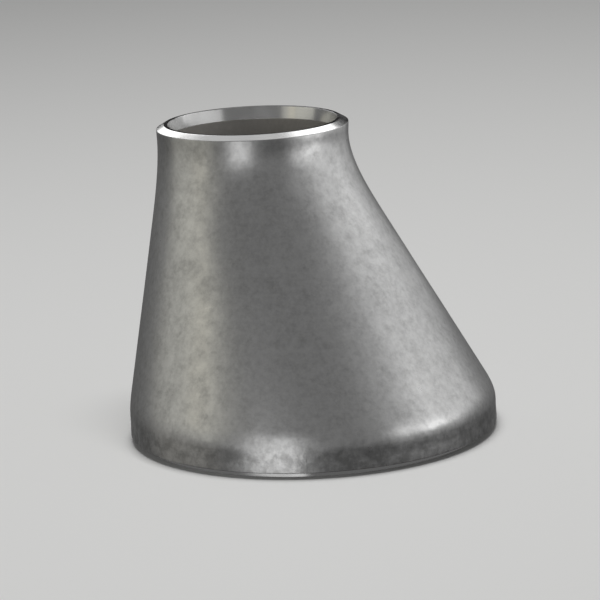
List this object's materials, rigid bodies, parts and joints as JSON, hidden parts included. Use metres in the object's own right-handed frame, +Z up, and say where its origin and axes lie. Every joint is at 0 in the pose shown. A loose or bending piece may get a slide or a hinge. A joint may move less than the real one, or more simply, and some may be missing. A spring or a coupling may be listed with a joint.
{
  "type": "eccentric pipe reducer",
  "caption": "Seamless eccentric butt-weld reducer that joins a large pipe to a small one with one side kept straight, both ends bevelled for welding.",
  "frame": {"origin": "centre of the large end's face, which the part stands on", "axes": "+Z up the part from the large end to the small end; -X towards the straight side, where the two ends are flush; the part is symmetric about the XZ plane"},
  "size_m": [0.1684, 0.1682, 0.1397],
  "materials": {
    "stainless": "satin, pickled outside and inside, with bright turned end bevels and bores"
  },
  "bodies": {
    "root": {"reducer_body": "stainless"}
  },
  "joints": []
}
